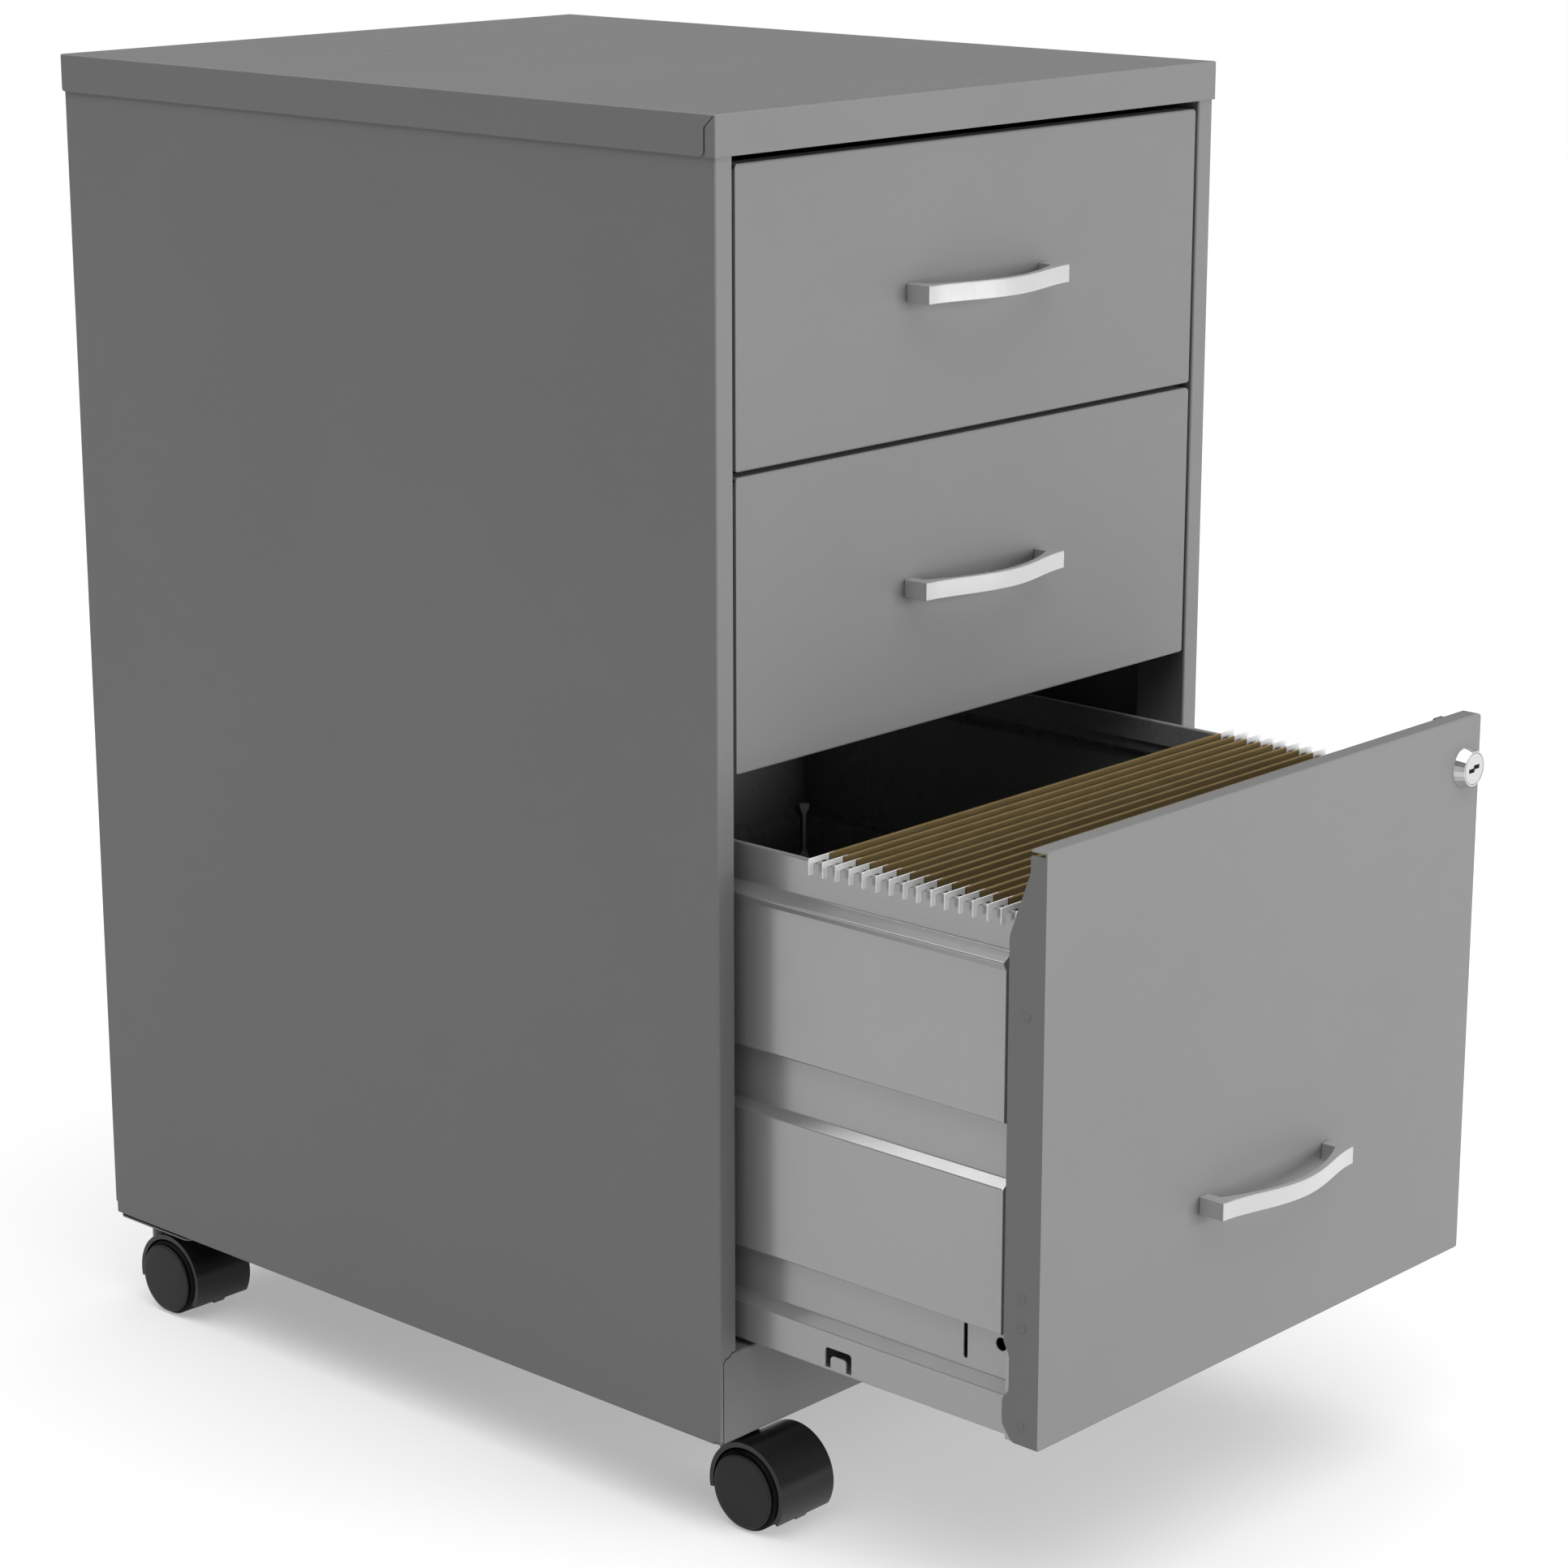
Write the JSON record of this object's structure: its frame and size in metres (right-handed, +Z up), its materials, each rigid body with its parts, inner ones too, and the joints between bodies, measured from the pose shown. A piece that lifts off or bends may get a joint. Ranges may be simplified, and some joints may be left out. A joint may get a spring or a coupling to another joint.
{
  "type": "filing cabinet",
  "caption": "Upright sheet-steel pedestal cabinet on hooded casters, with box drawers over a deep drawer that holds hanging files behind a key lock.",
  "frame": {"origin": "on the floor, straight under the middle of the closed cabinet's lid", "axes": "+Z up, -Y the way the drawers open, +X to the right of someone facing the drawers"},
  "size_m": [0.362, 0.6596, 0.6731],
  "materials": {
    "cabinet_paint": "satin silver grey powder coat",
    "drawer_paint": "semi-gloss grey outside, black inside",
    "rail_steel": "plain zinc plated",
    "pull_metal": "satin chrome",
    "lock_metal": "bright nickel",
    "fastener_steel": "zinc plated",
    "glide_nylon": "white nylon",
    "caster_plastic": "black moulded",
    "wheel_plastic": "black moulded",
    "folder_card": "olive tan card",
    "hook_coating": "white coated steel"
  },
  "bodies": {
    "carcass": {"lid": "cabinet_paint", "side_panel_left": "cabinet_paint", "side_panel_right": "cabinet_paint", "back_panel": "cabinet_paint", "kick_plate": "cabinet_paint", "front_caster_channel": "rail_steel", "rear_caster_channel": "cabinet_paint", "cross_rail": "rail_steel", "rail_glides": "glide_nylon", "carcass_rivets": "fastener_steel", "caster_sockets": "fastener_steel", "slide_rail_top_left": "rail_steel", "slide_rail_top_right": "rail_steel", "slide_rail_middle_left": "rail_steel", "slide_rail_middle_right": "rail_steel", "slide_rail_file_left": "rail_steel", "slide_rail_file_right": "rail_steel"},
    "top_drawer": {"top_front": "cabinet_paint", "top_tub": "drawer_paint", "top_back": "drawer_paint", "top_handle": "pull_metal", "top_handle_screws": "fastener_steel", "top_glides": "glide_nylon"},
    "middle_drawer": {"middle_front": "cabinet_paint", "middle_tub": "drawer_paint", "middle_back": "drawer_paint", "middle_handle": "pull_metal", "middle_handle_screws": "fastener_steel", "middle_glides": "glide_nylon"},
    "file_drawer": {"file_front": "cabinet_paint", "file_wall_left": "drawer_paint", "file_wall_right": "drawer_paint", "file_bottom": "drawer_paint", "file_back": "drawer_paint", "file_handle": "pull_metal", "file_handle_screws": "fastener_steel", "file_glides": "glide_nylon", "lock_housing": "lock_metal", "lock_nut": "fastener_steel", "bolt_guide": "rail_steel"},
    "lock_barrel": {"lock_plug": "lock_metal", "lock_cam": "lock_metal"},
    "lock_bolt": {"lock_bolt": "fastener_steel"},
    "hanging_files": {"folder_cards": "folder_card", "folder_rods": "fastener_steel", "folder_hooks": "hook_coating"},
    "caster_swivel_front_left": {"caster_hood_front_left": "caster_plastic", "caster_pins_front_left": "fastener_steel"},
    "caster_wheel_front_left": {"caster_wheels_front_left": "wheel_plastic"},
    "caster_swivel_front_right": {"caster_hood_front_right": "caster_plastic", "caster_pins_front_right": "fastener_steel"},
    "caster_wheel_front_right": {"caster_wheels_front_right": "wheel_plastic"},
    "caster_swivel_rear_left": {"caster_hood_rear_left": "caster_plastic", "caster_pins_rear_left": "fastener_steel"},
    "caster_wheel_rear_left": {"caster_wheels_rear_left": "wheel_plastic"},
    "caster_swivel_rear_right": {"caster_hood_rear_right": "caster_plastic", "caster_pins_rear_right": "fastener_steel"},
    "caster_wheel_rear_right": {"caster_wheels_rear_right": "wheel_plastic"}
  },
  "joints": [
    {"name": "top_drawer_slide", "type": "slide", "parent": "carcass", "child": "top_drawer", "axis": [0, -1, 0], "range_m": [0, 0.331]},
    {"name": "middle_drawer_slide", "type": "slide", "parent": "carcass", "child": "middle_drawer", "axis": [0, -1, 0], "range_m": [0, 0.331]},
    {"name": "file_drawer_slide", "type": "slide", "parent": "carcass", "child": "file_drawer", "axis": [0, -1, 0], "range_m": [-0.1811, 0.15]},
    {"name": "lock_turn", "type": "hinge", "parent": "file_drawer", "child": "lock_barrel", "pos_m": [0.1553, -0.4081, 0.3478], "axis": [0, 1, 0], "range_deg": [0, 90]},
    {"name": "lock_bolt_slide", "type": "slide", "parent": "file_drawer", "child": "lock_bolt", "axis": [0, 0, 1], "range_m": [0, 0.009]},
    {"name": "hanging_files_slide", "type": "slide", "parent": "file_drawer", "child": "hanging_files", "axis": [0, 1, 0], "range_m": [0, 0.08]},
    {"name": "caster_swivel_front_left_turn", "type": "hinge", "parent": "carcass", "child": "caster_swivel_front_left", "pos_m": [-0.145, -0.2071, 0.045], "axis": [0, 0, 1], "continuous": true},
    {"name": "caster_wheel_front_left_roll", "type": "hinge", "parent": "caster_swivel_front_left", "child": "caster_wheel_front_left", "pos_m": [-0.145, -0.2281, 0.0203], "axis": [1, 0, 0], "continuous": true},
    {"name": "caster_swivel_front_right_turn", "type": "hinge", "parent": "carcass", "child": "caster_swivel_front_right", "pos_m": [0.145, -0.2071, 0.045], "axis": [0, 0, 1], "continuous": true},
    {"name": "caster_wheel_front_right_roll", "type": "hinge", "parent": "caster_swivel_front_right", "child": "caster_wheel_front_right", "pos_m": [0.145, -0.2281, 0.0203], "axis": [1, 0, 0], "continuous": true},
    {"name": "caster_swivel_rear_left_turn", "type": "hinge", "parent": "carcass", "child": "caster_swivel_rear_left", "pos_m": [-0.16, 0.2064, 0.045], "axis": [0, 0, 1], "continuous": true},
    {"name": "caster_wheel_rear_left_roll", "type": "hinge", "parent": "caster_swivel_rear_left", "child": "caster_wheel_rear_left", "pos_m": [-0.16, 0.1854, 0.0203], "axis": [1, 0, 0], "continuous": true},
    {"name": "caster_swivel_rear_right_turn", "type": "hinge", "parent": "carcass", "child": "caster_swivel_rear_right", "pos_m": [0.16, 0.2064, 0.045], "axis": [0, 0, 1], "continuous": true},
    {"name": "caster_wheel_rear_right_roll", "type": "hinge", "parent": "caster_swivel_rear_right", "child": "caster_wheel_rear_right", "pos_m": [0.16, 0.1854, 0.0203], "axis": [1, 0, 0], "continuous": true}
  ],
  "couplings": [
    {"joint": "lock_turn", "follows": "lock_bolt_slide", "rad_per_m": 174.53}
  ]
}
